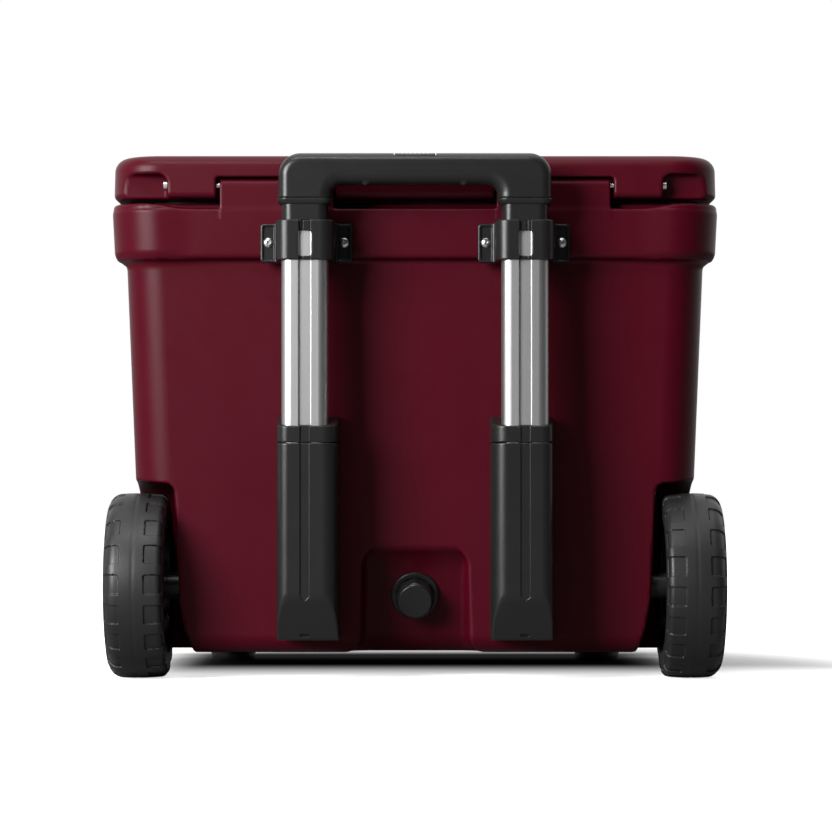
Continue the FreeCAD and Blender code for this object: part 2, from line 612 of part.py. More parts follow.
def build_glide(name, sign):
    """Block in the foot of the inner tube that guides the lock pin."""
    block = tube_bar(sign, 2, True, INNER_BOTTOM, LOCK_Z + 7, -0.02)
    axis_start = Vector(sign * TUBE_X, ROD_Y, LOCK_Z)
    relief = rod(3.0 + RUNNING_GAP, axis_start - Vector(0, 3.5, 0), axis_start)
    save("glide_" + name, block.cut(lock_bore(sign, RUNNING_GAP)).cut(relief))
    outer_face = TUBE_Y + stage_size(2, False)[1] / 2
    tip = Vector(sign * TUBE_X, outer_face, LOCK_Z)
    save("lock_pin_" + name, rod(3.0, tip - Vector(0, 6, 0), tip))


def grip_pin(sign):
    start = Vector(sign * TUBE_X, GRIP_REAR_Y + 3, 461)
    return Part.makeCompound([rod(1.5, start + Vector(dx, 0, 0), start + Vector(dx, 22, 0))
                              for dx in (-9, 9)])


def build_grip():
    block = grip_block()
    x_half, y0, y1 = BUTTON_HALF_WIDTH, GRIP_REAR_Y + 3.5, GRIP_FRONT_Y - 3.5
    well = box(-x_half - 0.4, x_half + 0.4, y0 - 0.4, y1 + 0.4,
               RELEASE_BAR_HIGH - BUTTON_TRAVEL, GRIP_TOP + 5)
    bar_reach = TUBE_X + 6
    bar_slot = box(-bar_reach - 1, bar_reach + 1, TUBE_Y - 6, TUBE_Y + 6,
                   RELEASE_BAR_LOW - BUTTON_TRAVEL - 0.5, RELEASE_BAR_HIGH)
    spring_ends = Vector(0, TUBE_Y, SPRING_SEAT), Vector(0, TUBE_Y, RELEASE_BAR_LOW)
    grip = block.cut(well).cut(bar_slot).cut(rod(5.2, *spring_ends))
    rods = []
    for _, sign in SIDES:
        lip = plain_bar(sign, 52.5, 26.5, OVAL_RADIUS, GRIP_BOTTOM, GRIP_LIP_TOP)
        grip = grip.fuse(lip)
        grip = grip.cut(tube_bar(sign, 2, False, GRIP_BOTTOM - 1, INNER_TOP))
        top = Vector(sign * TUBE_X, ROD_Y, RELEASE_BAR_LOW)
        grip = grip.cut(rod(3.2, Vector(sign * TUBE_X, ROD_Y, INNER_TOP - 1), top))
        grip = grip.cut(grip_pin(sign))
        rods.append(rod(2.0, Vector(sign * TUBE_X, ROD_Y, LOCK_Z + 12), top))
    save("grip", grip)
    save("grip_button", block.common(box(-x_half, x_half, y0, y1, RELEASE_BAR_HIGH, GRIP_TOP + 5)))
    save("grip_pins", [s for _, sign in SIDES for s in grip_pin(sign).Solids])
    save("release_bar", box(-bar_reach, bar_reach, TUBE_Y - 5, TUBE_Y + 5,
                            RELEASE_BAR_LOW, RELEASE_BAR_HIGH))
    save("release_rods", rods)
    save("button_spring", pipe(4.6, 3.6, *spring_ends))


# ---------------------------------------------------------------- brackets and sockets
def tube_hole(sign, z0, z1):
    """Where the outer tube passes, with a little clearance."""
    return plain_bar(sign, TUBE_WIDTH + 0.1, TUBE_DEPTH + 0.1, OVAL_RADIUS + 0.05, z0, z1)


def build_brackets():
    screws, inserts = [], []
    for name, sign in SIDES:
        x = sign * TUBE_X
        saddle = box(x - 27.85, x + 27.85, GRIP_REAR_Y, BAND_REAR_Y, BRACKET_BOTTOM, BRACKET_TOP)
        saddle = saddle.makeFillet(6, [e for e in saddle.Edges if e.BoundBox.ZLength > 30
                                       and e.BoundBox.YMax < BAND_REAR_Y - 1])
        flange = box(x - 43.7, x + 43.7, BAND_REAR_Y - 8, BAND_REAR_Y, BRACKET_BOTTOM, BRACKET_TOP)
        flange = flange.makeFillet(4, [e for e in flange.Edges if e.BoundBox.YLength > 7])
        bracket = fused([saddle, flange])
        bracket = bracket.cut(tube_hole(sign, BRACKET_BOTTOM - 1, BRACKET_TOP + 1))
        bracket = bracket.cut(box(x - 6.25, x + 6.25, GRIP_REAR_Y - 1, TUBE_Y, 400.7, 426.7))
        for offset in (-BRACKET_SCREW_X, BRACKET_SCREW_X):
            face = Vector(x + offset, BAND_REAR_Y - 8, BRACKET_SCREW_Z)
            bracket = bracket.cut(rod(BRACKET_SCREW_RADIUS, face - Vector(0, 1, 0), face + Vector(0, 10, 0)))
            head = rod(4.85, face - Vector(0, 2.4, 0), face)
            shank = rod(BRACKET_SCREW_RADIUS, face - Vector(0, 1, 0), face + Vector(0, 22, 0))
            screws.append(head.fuse(shank))
            seat = Vector(x + offset, BAND_REAR_Y, BRACKET_SCREW_Z)
            insert = rod(BRACKET_INSERT_RADIUS, seat, seat + Vector(0, BRACKET_INSERT_LENGTH, 0))
            inserts.append(insert.cut(rod(BRACKET_SCREW_RADIUS, seat, seat + Vector(0, 14, 0))))
        save("bracket_" + name, bracket)
    save("bracket_screws", screws)
    save("bracket_inserts", inserts)


def socket_block(z0, z1):
    """Right-hand socket: tight corner outside, wide one towards the middle."""
    block = box(TUBE_X - SOCKET_INNER, TUBE_X + SOCKET_OUTER, GRIP_REAR_Y, -165, z0, z1)
    upright = [e for e in block.Edges if e.BoundBox.ZLength > 10 and e.BoundBox.YMax < -200]
    inner = [e for e in upright if e.BoundBox.XMax < TUBE_X]
    block = block.makeFillet(12, inner)
    outer = [e for e in block.Edges if e.BoundBox.ZLength > 10 and e.BoundBox.XMin > TUBE_X + 20
             and e.BoundBox.YMax < -200]
    return block.makeFillet(5, outer)


def wedge_along_x(points):
    """Prism across the whole socket from (y, z) points."""
    return prism([Vector(0, y, z) for y, z in points], Vector(200, 0, 0))


def socket_toe():
    """The slope that the socket's foot is cut back to."""
    out, deep = GRIP_REAR_Y - 5, GRIP_REAR_Y + 13
    return wedge_along_x([(out, 80.6), (GRIP_REAR_Y, 80.6), (deep, SOCKET_BOTTOM),
                          (deep, SOCKET_BOTTOM - 5), (out, SOCKET_BOTTOM - 5)])


def collar_slant():
    """The collar's top is low at the back and rises towards the wall."""
    out, deep = GRIP_REAR_Y - 5, GRIP_REAR_Y + 35
    return wedge_along_x([(out, 240.5), (deep, COLLAR_TOP), (deep, COLLAR_TOP + 5), (out, COLLAR_TOP + 5)])


def build_sockets(outside):
    screws = []
    for name, sign in SIDES:
        hole = tube_hole(1, OUTER_TUBE_BOTTOM, COLLAR_TOP + 5)
        socket = socket_block(SOCKET_BOTTOM, COLLAR_BOTTOM).cut(hole).cut(outside)
        groove = box(TUBE_X - 4.3, TUBE_X + 4.3, GRIP_REAR_Y - 1, GRIP_REAR_Y + 1.1, 77, COLLAR_TOP)
        socket = socket.cut(socket_toe()).cut(groove)
        collar = socket_block(COLLAR_BOTTOM, COLLAR_TOP).cut(hole).cut(outside).cut(groove)
        collar = collar.cut(collar_slant())
        for z in SOCKET_SCREW_HEIGHTS:
            seat = Vector(TUBE_X, TUBE_Y + TUBE_DEPTH / 2, z)
            depth = wall_rear_at(z) + 16 - seat.y
            head = rod(4.5, seat + Vector(0, 0.5, 0), seat + Vector(0, 4, 0))
            shank = rod(2.5, seat + Vector(0, 4, 0), seat + Vector(0, depth, 0))
            socket = socket.cut(rod(4.6, seat, seat + Vector(0, 4, 0))).cut(shank)
            screws.append(on_side(head.fuse(shank), sign))
        save("socket_" + name, on_side(socket, sign))
        save("socket_collar_" + name, on_side(collar, sign))
    save("socket_screws", screws)


tub_solid = build_tub()
build_drain()
build_feet()
build_lid()
build_hinge_pins()
build_latches()
for side_name, side_sign in SIDES:
    build_wheel(side_name, side_sign)
build_axles(tub_solid)
build_handle()
build_brackets()
build_sockets(tub_solid)
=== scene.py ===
"""Looks for the wheeled cooler chest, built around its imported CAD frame.

Moulded pieces are made from distance functions: every function takes points in
millimetres and says how far they are from the piece's surface, below zero inside.
skin() turns such a function into a closed, evenly meshed piece in metres.
-Y is the back with the handle and wheels, +Z is up.
"""
import json
import math

import bpy
import numpy as np
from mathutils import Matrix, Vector


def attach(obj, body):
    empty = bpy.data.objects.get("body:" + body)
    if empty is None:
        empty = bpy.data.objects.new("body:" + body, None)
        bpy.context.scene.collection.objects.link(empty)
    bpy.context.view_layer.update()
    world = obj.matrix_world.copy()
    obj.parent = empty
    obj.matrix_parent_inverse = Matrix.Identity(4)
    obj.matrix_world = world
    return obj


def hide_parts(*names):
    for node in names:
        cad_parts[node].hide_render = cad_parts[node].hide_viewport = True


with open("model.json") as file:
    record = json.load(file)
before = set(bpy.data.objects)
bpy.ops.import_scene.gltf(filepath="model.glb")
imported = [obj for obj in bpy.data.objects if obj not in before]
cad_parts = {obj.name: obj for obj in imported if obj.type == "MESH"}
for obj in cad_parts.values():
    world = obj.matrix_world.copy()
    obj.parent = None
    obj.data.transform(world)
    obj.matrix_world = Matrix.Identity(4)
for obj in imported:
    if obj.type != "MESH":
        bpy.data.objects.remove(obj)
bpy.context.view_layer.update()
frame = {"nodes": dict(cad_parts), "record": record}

MM = 0.001
SIDES = (("left", -1), ("right", 1))


# ---------------------------------------------------------------- distance helpers
def union(a, b, r=0.0):
    """Joins two shapes with a round fillet of radius r in the corner."""
    if r == 0:
        return np.minimum(a, b)
    u, v = np.maximum(r - a, 0), np.maximum(r - b, 0)
    return np.maximum(r, np.minimum(a, b)) - np.hypot(u, v)


def both(a, b, r=0.0):
    """Keeps what is inside both shapes, with edges rounded to radius r."""
    if r == 0:
        return np.maximum(a, b)
    u, v = np.maximum(r + a, 0), np.maximum(r + b, 0)
    return np.minimum(-r, np.maximum(a, b)) + np.hypot(u, v)


def less(a, b, r=0.0):
    """Cuts b out of a."""
    return both(a, -b, r)


def rect(u, v, half_u, half_v, r):
    """Flat rectangle about zero with round corners."""
    a, b = np.abs(u) - (half_u - r), np.abs(v) - (half_v - r)
    return np.hypot(np.maximum(a, 0), np.maximum(b, 0)) + np.minimum(np.maximum(a, b), 0) - r


def span(v, low, high):
    """Slab between two values."""
    return np.abs(v - (low + high) / 2) - (high - low) / 2


def ease(v, low, high):
    """0 below low, 1 above high, smooth between."""
    t = np.clip((v - low) / (high - low), 0, 1)
    return t * t * (3 - 2 * t)


# ---------------------------------------------------------------- meshing
BLOCK = 8           # cells along a block
BATCH = 300         # blocks worked out at a time
SETTLE_STEPS = 3    # moves of each vertex on to the surface


def slope(distance, points, step):
    """Direction in which the distance grows, by central differences."""
    result = np.empty_like(points)
    for axis in range(3):
        shift = np.zeros(3)
        shift[axis] = step
        result[:, axis] = (distance(points + shift) - distance(points - shift)) / (2 * step)
    return result


def kept_blocks(distance, low, counts, cell):
    """Blocks of cells that the surface may pass through, and the values at their corners."""
    index = np.stack(np.meshgrid(*[np.arange(n) for n in counts], indexing="ij"), -1).reshape(-1, 3)
    reach = 0.9 * BLOCK * cell * 1.2 + cell
    index = index[np.abs(distance(low + (index + 0.5) * BLOCK * cell)) < reach]
    local = np.stack(np.meshgrid(*[np.arange(BLOCK + 1)] * 3, indexing="ij"), -1)
    values = np.empty((len(index),) + (BLOCK + 1,) * 3)
    for first in range(0, len(index), BATCH):
        part = index[first:first + BATCH]
        corners = part[:, None, None, None, :] * BLOCK + local
        flat = distance((low + corners * cell).reshape(-1, 3))
        values[first:first + BATCH] = flat.reshape(corners.shape[:4])
    return index, values


def crossing_cells(inside, index, n):
    """Block and place in it of every cell that has corners on both sides, and its number in the grid."""
    corners = [inside[:, i:n + i, j:n + j, k:n + k] for i in (0, 1) for j in (0, 1) for k in (0, 1)]
    total = sum(c.astype(np.int8) for c in corners)
    b, i, j, k = np.nonzero((total > 0) & (total < 8))
    return (b, i, j, k), index[b] * n + np.stack([i, j, k], 1)


def cell_points(values, where, cells):
    """Mean of the places where the surface crosses each cell's edges, in cells."""
    b, i, j, k = where
    place = np.zeros((len(cells), 3))
    hits = np.zeros(len(cells))
    for axis in range(3):
        others = [a for a in range(3) if a != axis]
        for s, t in ((0, 0), (0, 1), (1, 0), (1, 1)):
            start = np.zeros(3, int)
            start[others[0]], start[others[1]] = s, t
            end = start.copy()
            end[axis] = 1
            v0 = values[b, i + start[0], j + start[1], k + start[2]]
            v1 = values[b, i + end[0], j + end[1], k + end[2]]
            cross = (v0 < 0) != (v1 < 0)
            ratio = np.where(cross, v0 / np.where(cross, v0 - v1, 1), 0)
            place += np.where(cross[:, None], start + (end - start) * ratio[:, None], 0)
            hits += cross
    return cells + place / hits[:, None]


def net_quads(inside, index, n, stride, ids):
    """One quad across every grid edge that the surface crosses, facing outwards."""
    quads = []
    for axis in range(3):
        u, v = stride[(axis + 1) % 3], stride[(axis + 2) % 3]
        shift = [0, 0, 0]
        shift[axis] = 1
        here = inside[:, :n, :n, :n]
        there = inside[:, shift[0]:n + shift[0], shift[1]:n + shift[1], shift[2]:n + shift[2]]
        b, i, j, k = np.nonzero(here != there)
        corner = (index[b] * n + np.stack([i, j, k], 1)) @ stride
        ring = np.stack([corner - u - v, corner - v, corner, corner - u], 1)
        outward = here[b, i, j, k]
        ring = np.where(outward[:, None], ring, ring[:, ::-1])
        quads.append(np.searchsorted(ids, ring))
    return np.concatenate(quads)


def surface_net(distance, low, high, cell):
    """Vertices and quads of the zero surface, one vertex in each cell that it crosses."""
    low = np.array(low, float) - 2 * cell
    counts = np.ceil((np.array(high, float) + 2 * cell - low) / (cell * BLOCK)).astype(int)
    index, values = kept_blocks(distance, low, counts, cell)
    inside = values < 0
    where, cells = crossing_cells(inside, index, BLOCK)
    size = counts * BLOCK + 1
    stride = np.array([size[1] * size[2], size[2], 1])
    ids = cells @ stride
    points = low + cell_points(values, where, cells) * cell
    order = np.argsort(ids)
    points, ids = points[order], ids[order]
    return points, net_quads(inside, index, BLOCK, stride, ids)


def make_mesh(name, points, quads, normals):
    """Object from quads, shaded with the given normals."""
    mesh = bpy.data.meshes.new(name)
    mesh.vertices.add(len(points))
    mesh.vertices.foreach_set("co", (points * MM).astype(np.float32).ravel())
    mesh.loops.add(quads.size)
    mesh.loops.foreach_set("vertex_index", quads.astype(np.int32).ravel())
    mesh.polygons.add(len(quads))
    mesh.polygons.foreach_set("loop_start", np.arange(0, quads.size, quads.shape[1], dtype=np.int32))
    mesh.polygons.foreach_set("use_smooth", np.ones(len(quads), bool))
    mesh.update(calc_edges=True)
    mesh.normals_split_custom_set_from_vertices(normals.astype(np.float32))
    piece = bpy.data.objects.new(name, mesh)
    bpy.context.scene.collection.objects.link(piece)
    return piece


def skin(name, distance, low, high, cell, mirror=False, place=None):
    """The piece whose surface is where distance is zero. place moves finished points (mm)."""
    points, quads = surface_net(distance, low, high, cell)
    step = cell * 0.1
    for _ in range(SETTLE_STEPS):
        grad = slope(distance, points, step)
        size = np.maximum((grad ** 2).sum(axis=1), 0.2)
        move = np.clip(distance(points) / size, -cell, cell)
        points = points - grad * move[:, None]
    normals = slope(distance, points, step)
    normals /= np.maximum(np.linalg.norm(normals, axis=1), 1e-9)[:, None]
    if place is not None:
        points, normals = place(points, normals)
    if mirror:
        flip = np.array([-1, 1, 1])
        points, normals, quads = points * flip, normals * flip, quads[:, ::-1]
    return make_mesh(name, points, quads, normals)


# ---------------------------------------------------------------- sizes of the tub and lid
DRAFT = 0.0376
MIDDLE_Y = 22.5
WALL_TOP, WALL_HALF_X, WALL_HALF_Y = 383.0, 277.5, 209.0
BASE = 24.6
BAND_HALF_X, BAND_HALF_Y, BAND_CORNER = 291.0, 221.0, 46.0
LID_HALF_X, LID_LOW, LID_TOP = 290.0, 459.0, 500.0
BAND_LOW, RIM, LEDGE = 401.0, 455.0, 449.0
REAR = MIDDLE_Y - BAND_HALF_Y
AXLE_Y, AXLE_Z, WHEEL_RADIUS = -154.5, 89.0, 89.0
WELL_RADIUS = 101.0
HINGE_Y, HINGE_Z = -191.5, 471.0
LATCH_X, LATCH_RECESS_HALF, LATCH_RECESS_Y = 130.0, 29.0, 228.0
TUBE_X, TUBE_Y = 103.2, -237.5
DRAIN_Y, DRAIN_Z, DRAIN_TILT = -155.0, 80.0, math.radians(13.3)


def wall_section(x, y, z, inset, corner):
    """Level outline of the drafted wall, moved in by inset."""
    lean = (WALL_TOP - z) * DRAFT + inset
    return rect(x, y - MIDDLE_Y, WALL_HALF_X - lean, WALL_HALF_Y - lean, corner)


def wall_rear_at(z):
    return MIDDLE_Y - WALL_HALF_Y + (WALL_TOP - z) * DRAFT


def recess_distance(x, y, z):
    """Pocket round the drain: overhanging face, cove at the top, open at the bottom."""
    face = (y - DRAIN_Y + (z - DRAIN_Z) * math.tan(DRAIN_TILT)) * math.cos(DRAIN_TILT)
    half = 48.4 - 0.14 * np.minimum(face, 0)
    sides = rect(x, z - 32.5, half, 93.0, 18.0)
    return np.maximum(both(sides, face, 5), both(z - 131.5, face, 30))


def tub_wall(x, y, z):
    """Drafted wall with the drain recess, flaring at the corners just under the band."""
    wall = wall_section(x, y, z, 0.0, 38.0)
    wall = less(wall, recess_distance(x, y, z), 3.5)
    near_corner = ease(np.abs(x), 170, 250) * ease(np.abs(y - MIDDLE_Y), 120, 185)
    climb = np.clip((z - BAND_LOW + 9) / 9, 0, 1)
    flare = 7.0 * (1 - np.sqrt(1 - climb ** 2 * 0.999)) + 4.0 * ease(z, BAND_LOW, BAND_LOW + 8)
    flare = flare * near_corner
    wall = both(wall - flare, BASE - z, 18)
    return both(wall, z - (RIM - 8), 1)


def tub_band(x, y, z):
    """Band round the top, a little narrower at its lower edge."""
    narrow = 3.0 * (1 - np.clip((z - BAND_LOW) / (RIM - BAND_LOW), 0, 1))
    band = rect(x, y - MIDDLE_Y, BAND_HALF_X - narrow, BAND_HALF_Y - narrow * 0.6, BAND_CORNER)
    return both(both(band, BAND_LOW - z, 5), z - RIM, 4)


def hinge_knuckles(ax, y, z):
    """Two long knuckles that stand up from the rear ledge into the lid."""
    knuckle = np.hypot(y - HINGE_Y, np.maximum(z - HINGE_Z, 0)) - 6.0
    return both(both(knuckle, np.abs(ax - 131.75) - 54.25, 1.5), 440 - z)


def wheel_well(ax, y, z):
    """Round well that leaves a core between the wheels, wider with height."""
    half_core = np.interp(z, [BASE, 47, 76, 178, 240], [213, 221, 226, 230.4, 232])
    return both(np.hypot(y - AXLE_Y, z - AXLE_Z) - WELL_RADIUS, half_core - ax, 9)


def tub_room(x, y, z):
    """Room inside the tub, with a bump over each wheel well."""
    room = both(wall_section(x, y, z, 45.0, 20.0), 78 - z, 17)
    bump = both(np.hypot(y - AXLE_Y, z - AXLE_Z) - WELL_RADIUS - 32, 192 - np.abs(x), 12)
    return less(room, bump, 12)


def side_grip(ax, y, z):
    """Hand hold cut in and up behind the band's edge on each side."""
    grip = both(rect(ax - 284, z - 399, 16, 28, 5), np.abs(y) - 70, 8)
    lip = both(281.0 - ax, BAND_LOW - z, 1)
    return less(grip, lip, 2)


def tub_distance(p):
    """Tub with its band, ledge, wheel wells, room, hand holds and drain bore."""
    x, y, z = p[:, 0], p[:, 1], p[:, 2]
    ax = np.abs(x)
    tub = union(tub_wall(x, y, z), tub_band(x, y, z), 4)
    ledge_z = LEDGE + 6 * ease(ax, 215, 262)
    tub = less(tub, both(ledge_z - z, y + 180.5, 2), 2.5)
    tub = union(tub, hinge_knuckles(ax, y, z), 2)
    tub = less(tub, wheel_well(ax, y, z), 2.5)
    tub = less(tub, tub_room(x, y, z), 5)
    tub = less(tub, side_grip(ax, y, z), 3)
    catch = both(both(np.abs(ax - LATCH_X) - LATCH_RECESS_HALF, LATCH_RECESS_Y - y, 3), 389 - z, 6)
    tub = less(tub, catch, 3)
    lower = (z - DRAIN_Z) * math.cos(DRAIN_TILT) - (y - DRAIN_Y) * math.sin(DRAIN_TILT)
    return less(tub, both(np.hypot(x, lower) - 13, y + 110))


def lid_distance(p):
    """Lid with a raised rim, a plug below, notches for the knuckles and scoops at the pin ends."""
    x, y, z = p[:, 0], p[:, 1], p[:, 2]
    ax = np.abs(x)
    narrow = np.clip((z - LID_LOW) / (LID_TOP - LID_LOW), 0, 1)
    lid = rect(x, y - MIDDLE_Y, LID_HALF_X - narrow, BAND_HALF_Y - narrow, BAND_CORNER)
    lid = both(both(lid, z - LID_TOP, 13), LID_LOW - z, 6)
    panel = both(rect(x, y - MIDDLE_Y, 246, 178, 34), LID_TOP - 1.4 - z, 1)
    lid = less(lid, panel, 1.2)
    plug = both(both(wall_section(x, y, z, 53, 18), 447 - z, 4), z - LID_LOW - 2)
    lid = union(lid, plug, 2)
    notch = both(both(span(ax, 75.5, 189.2), y - (HINGE_Y + 9), 3), z - 479, 3)
    lid = less(lid, notch, 2)
    depth = 15.5 * np.sqrt(np.clip(1 - ((z - LID_LOW) / 40) ** 2, 0.05, 1))
    scoop = rect(ax - 258, z - 462, 22, 20, 9)
    scoop = both(scoop, y - (REAR + depth), 4)
    lid = less(lid, scoop, 2.5)
    pocket = both(np.abs(ax - LATCH_X) - LATCH_RECESS_HALF, LATCH_RECESS_Y - y, 3)
    return less(lid, pocket, 3)


# ---------------------------------------------------------------- handle
GRIP_BACK, GRIP_FRONT = -251.5, -223.5
GRIP_HALF_X, GRIP_TOP = 128.0, 496.6
BRACKET_Z, SCREW_Z, SCREW_OFFSET = 415.1, 415.6, 36.0
SCREW_SEAT = REAR - 6.4
SOCKET_LOW, SOCKET_TOP = 40.0, 225.2
COLLAR_LOW, COLLAR_TOP, COLLAR_SLANT = 225.6, 250.6, 0.24
TUBE_HOLE = (44.8, 24.4)
GROOVE_HALF, GROOVE_FLOOR = 4.3, 250.1
TOE_TOP, TOE_LEAN = 80.6, math.atan2(13.0, 40.6)


def oval(x, y, width, depth, r=9.0):
    """Level outline of a handle tube or its hole, centred on the tube."""
    return rect(x, y - TUBE_Y, width / 2, depth / 2, r)


def grip_outside(x, y, z):
    """Outside of the arched grip, which its button follows too."""
    half_z = 98.3
    arch = rect(x, z - (GRIP_TOP - half_z), GRIP_HALF_X, half_z, 21)
    return both(arch, span(y, GRIP_BACK, GRIP_FRONT), 9.5)


def grip_distance(p):
    """Arched grip with a lip at each leg's foot, a tunnel for each tube and a slot for the button."""
    x, y, z = p[:, 0], p[:, 1], p[:, 2]
    ax = np.abs(x)
    gap = rect(x, z - 377, 77.0, 90.0, 9)
    body = less(grip_outside(x, y, z), gap, 12.5)
    body = both(body, 454.6 - z, 1)
    taper = np.clip((454 - z) / 5.6, 0, 1)
    lip = oval(ax - TUBE_X, y, 52.5 - 5 * taper ** 2, 27.4 - 4 * taper ** 2, 10)
    lip = both(lip, span(z, 448.4, 454.2), 0.8)
    body = union(body, lip, 0.4)
    tunnel = both(oval(ax - TUBE_X, y, 37.2, 16.8, 7), z - 470)
    body = less(body, tunnel, 0.5)
    slot = both(rect(x, y - TUBE_Y, 19.9, 11.4, 3), 484 - z)
    body = less(body, slot, 0.5)
    bump = np.sqrt((ax - 46) ** 2 + (y - TUBE_Y + 6) ** 2 + (z - 469.0) ** 2) - 3.2
    return union(body, bump, 1.5)


def button_distance(p):
    """Release button, flush with the grip and ribbed on top."""
    x, y, z = p[:, 0], p[:, 1], p[:, 2]
    body = both(rect(x, y - TUBE_Y, 19.1, 10.6, 2.5), grip_outside(x, y, z), 0.8)
    ridges = 0.35 * (np.cos(x * 2 * math.pi / 4) > 0.6) * (z > 490)
    return both(body + ridges * ease(16 - np.abs(x), 0, 2), 489.1 - z, 0.5)


def bracket_distance(p):
    """Right bracket, centred on x = 0."""
    x, y, z = p[:, 0], p[:, 1], p[:, 2]
    saddle = rect(x, y + 219, 27.8, 32.4, 13)
    flange = both(rect(x, z - BRACKET_Z, 43.7, 18.8, 4), span(y, REAR - 8, REAR), 1.6)
    sunk = rect(x, z - BRACKET_Z, 40.6, 15.9, 2)
    flange = less(flange, both(sunk, y - SCREW_SEAT), 0.7)
    step = both(span(np.abs(x), 26, 30.2), span(y, REAR - 12, REAR), 1.5)
    body = union(union(flange, step, 0.8), saddle, 1.2)
    body = both(both(body, y - REAR), span(z, 396.2, 434.0), 1.5)
    body = less(body, oval(x, y, 44.6, 24.2, 9), 0.6)
    channel = both(np.abs(x) - 5.4, y + 246)
    body = less(body, channel, 0.6)
    key = both(rect(x, y + 247.8, 5.5, 1.0, 0.6), span(z, 396.6, 433.6), 0.5)
    body = union(body, less(key, rect(x - 2.0, y + 249, 0.7, 1.2, 0.4), 0.2), 0.3)
    window = both(rect(x, z - 411.9, 6.3, 11.8, 3.0), y - TUBE_Y)
    return less(body, window, 0.9)


def screws_distance(p):
    """Four button heads with hexagon sockets, and their shanks."""
    x, y, z = p[:, 0], p[:, 1], p[:, 2] - SCREW_Z
    u = np.abs(np.abs(x) - TUBE_X) - SCREW_OFFSET
    radius = np.hypot(u, z)
    dome = np.sqrt(radius ** 2 + (y - (SCREW_SEAT + 3.5)) ** 2) - 6.4
    head = both(both(radius - 4.8, dome, 0.4), y - (SCREW_SEAT + 0.3))
    head = union(head, both(radius - 2.5, span(y, SCREW_SEAT - 0.5, REAR + 16)))
    hexagon = np.maximum(np.abs(u), np.abs(u) * 0.5 + np.abs(z) * 0.866) - 1.5
    return less(head, both(hexagon, y - (SCREW_SEAT - 1.4)), 0.15)


def socket_shape(x, y):
    """Level outline of the right socket: tight corner outside, wide corner towards the middle."""
    mid = -2.7
    corner = np.where(x < mid, 15.0, 11.0)
    return rect(x - mid, y + 201.5, 29.0, 50.0, corner)


def channel_key(x, y):
    """Rib that fills the tube's channel behind the groove."""
    return rect(x, y + 248.5, 5.6, GROOVE_FLOOR - 248.5, 0.5)


def socket_distance(p):
    """Right socket, centred on x = 0, with a sloped toe and a groove up its back."""
    x, y, z = p[:, 0], p[:, 1], p[:, 2]
    body = both(socket_shape(x, y), span(z, SOCKET_LOW, SOCKET_TOP), 1.5)
    toe = (TOE_TOP - z) * math.sin(TOE_LEAN) - (y - GRIP_BACK) * math.cos(TOE_LEAN)
    body = both(body, toe, 1.5)
    body = both(body, y - wall_rear_at(z) - 1.0)
    groove = both(np.maximum(np.abs(x) - GROOVE_HALF, (77 - z) + np.abs(x)), y + GROOVE_FLOOR)
    body = less(body, groove, 0.3)
    dimple = np.sqrt(x ** 2 + (y + 246.8) ** 2 + (z - 59) ** 2) - 2.2
    body = less(body, dimple, 0.5)
    slit = both(rect(x, z - 44.5, 4.2, 1.0, 0.8), y + 238)
    body = less(body, slit, 0.3)
    body = less(body, both(oval(x, y, *TUBE_HOLE), 84 - z), 0.5)
    return union(body, both(channel_key(x, y), span(z, 83, SOCKET_TOP)), 0.2)


def collar_distance(p):
    """Separate collar on top of the right socket, centred on x = 0."""
    x, y, z = p[:, 0], p[:, 1], p[:, 2]
    body = both(socket_shape(x, y), span(z, COLLAR_LOW, COLLAR_TOP), 1.2)
    slant = (z - 241.0) * math.cos(COLLAR_SLANT) - (y - GRIP_BACK) * math.sin(COLLAR_SLANT)
    body = both(body, slant, 1.5)
    body = both(body, y - wall_rear_at(z) - 1.0)
    body = less(body, both(np.abs(x) - GROOVE_HALF, y + GROOVE_FLOOR), 0.3)
    body = less(body, oval(x, y, *TUBE_HOLE), 0.8)
    return union(body, both(both(channel_key(x, y), span(z, COLLAR_LOW, 243)), slant), 0.2)


# ---------------------------------------------------------------- wheels
WHEEL_X = 265.75
TYRE_HALF_WIDTH, TYRE_INSIDE = 28.2, 63.0
POCKETS, POCKET_DEPTH = 19, 1.5
SPOKES = 6
TREAD_TURN = {"left": math.radians(6.9), "right": math.radians(-0.6)}


def tyre_distance(p, turn):
    """Right tyre with a row of shallow pockets near each edge."""
    x, y, z = p[:, 0] - WHEEL_X, p[:, 1] - AXLE_Y, p[:, 2] - AXLE_Z
    radius = np.hypot(y, z)
    crown = WHEEL_RADIUS - 0.0022 * x ** 2 - 0.15 * np.exp(-(x / 1.6) ** 2)
    smooth = both(both(radius - crown, x - TYRE_HALF_WIDTH, 12), -TYRE_HALF_WIDTH - x, 6)
    tyre = less(smooth, radius - TYRE_INSIDE, 3)
    pitch = 2 * math.pi / POCKETS
    angle = np.arctan2(y, z) - turn
    along = (np.mod(angle + pitch / 2, pitch) - pitch / 2) * radius
    inner = np.where(x > 0, 12.6, 10.8)
    pocket = both(np.abs(along) - 9.2, inner - np.abs(x), 1.8)
    pocket = both(pocket, -POCKET_DEPTH - smooth, 0.4)
    pocket = both(pocket, 79.0 - radius, 2)
    return less(tyre, pocket, 0.35)


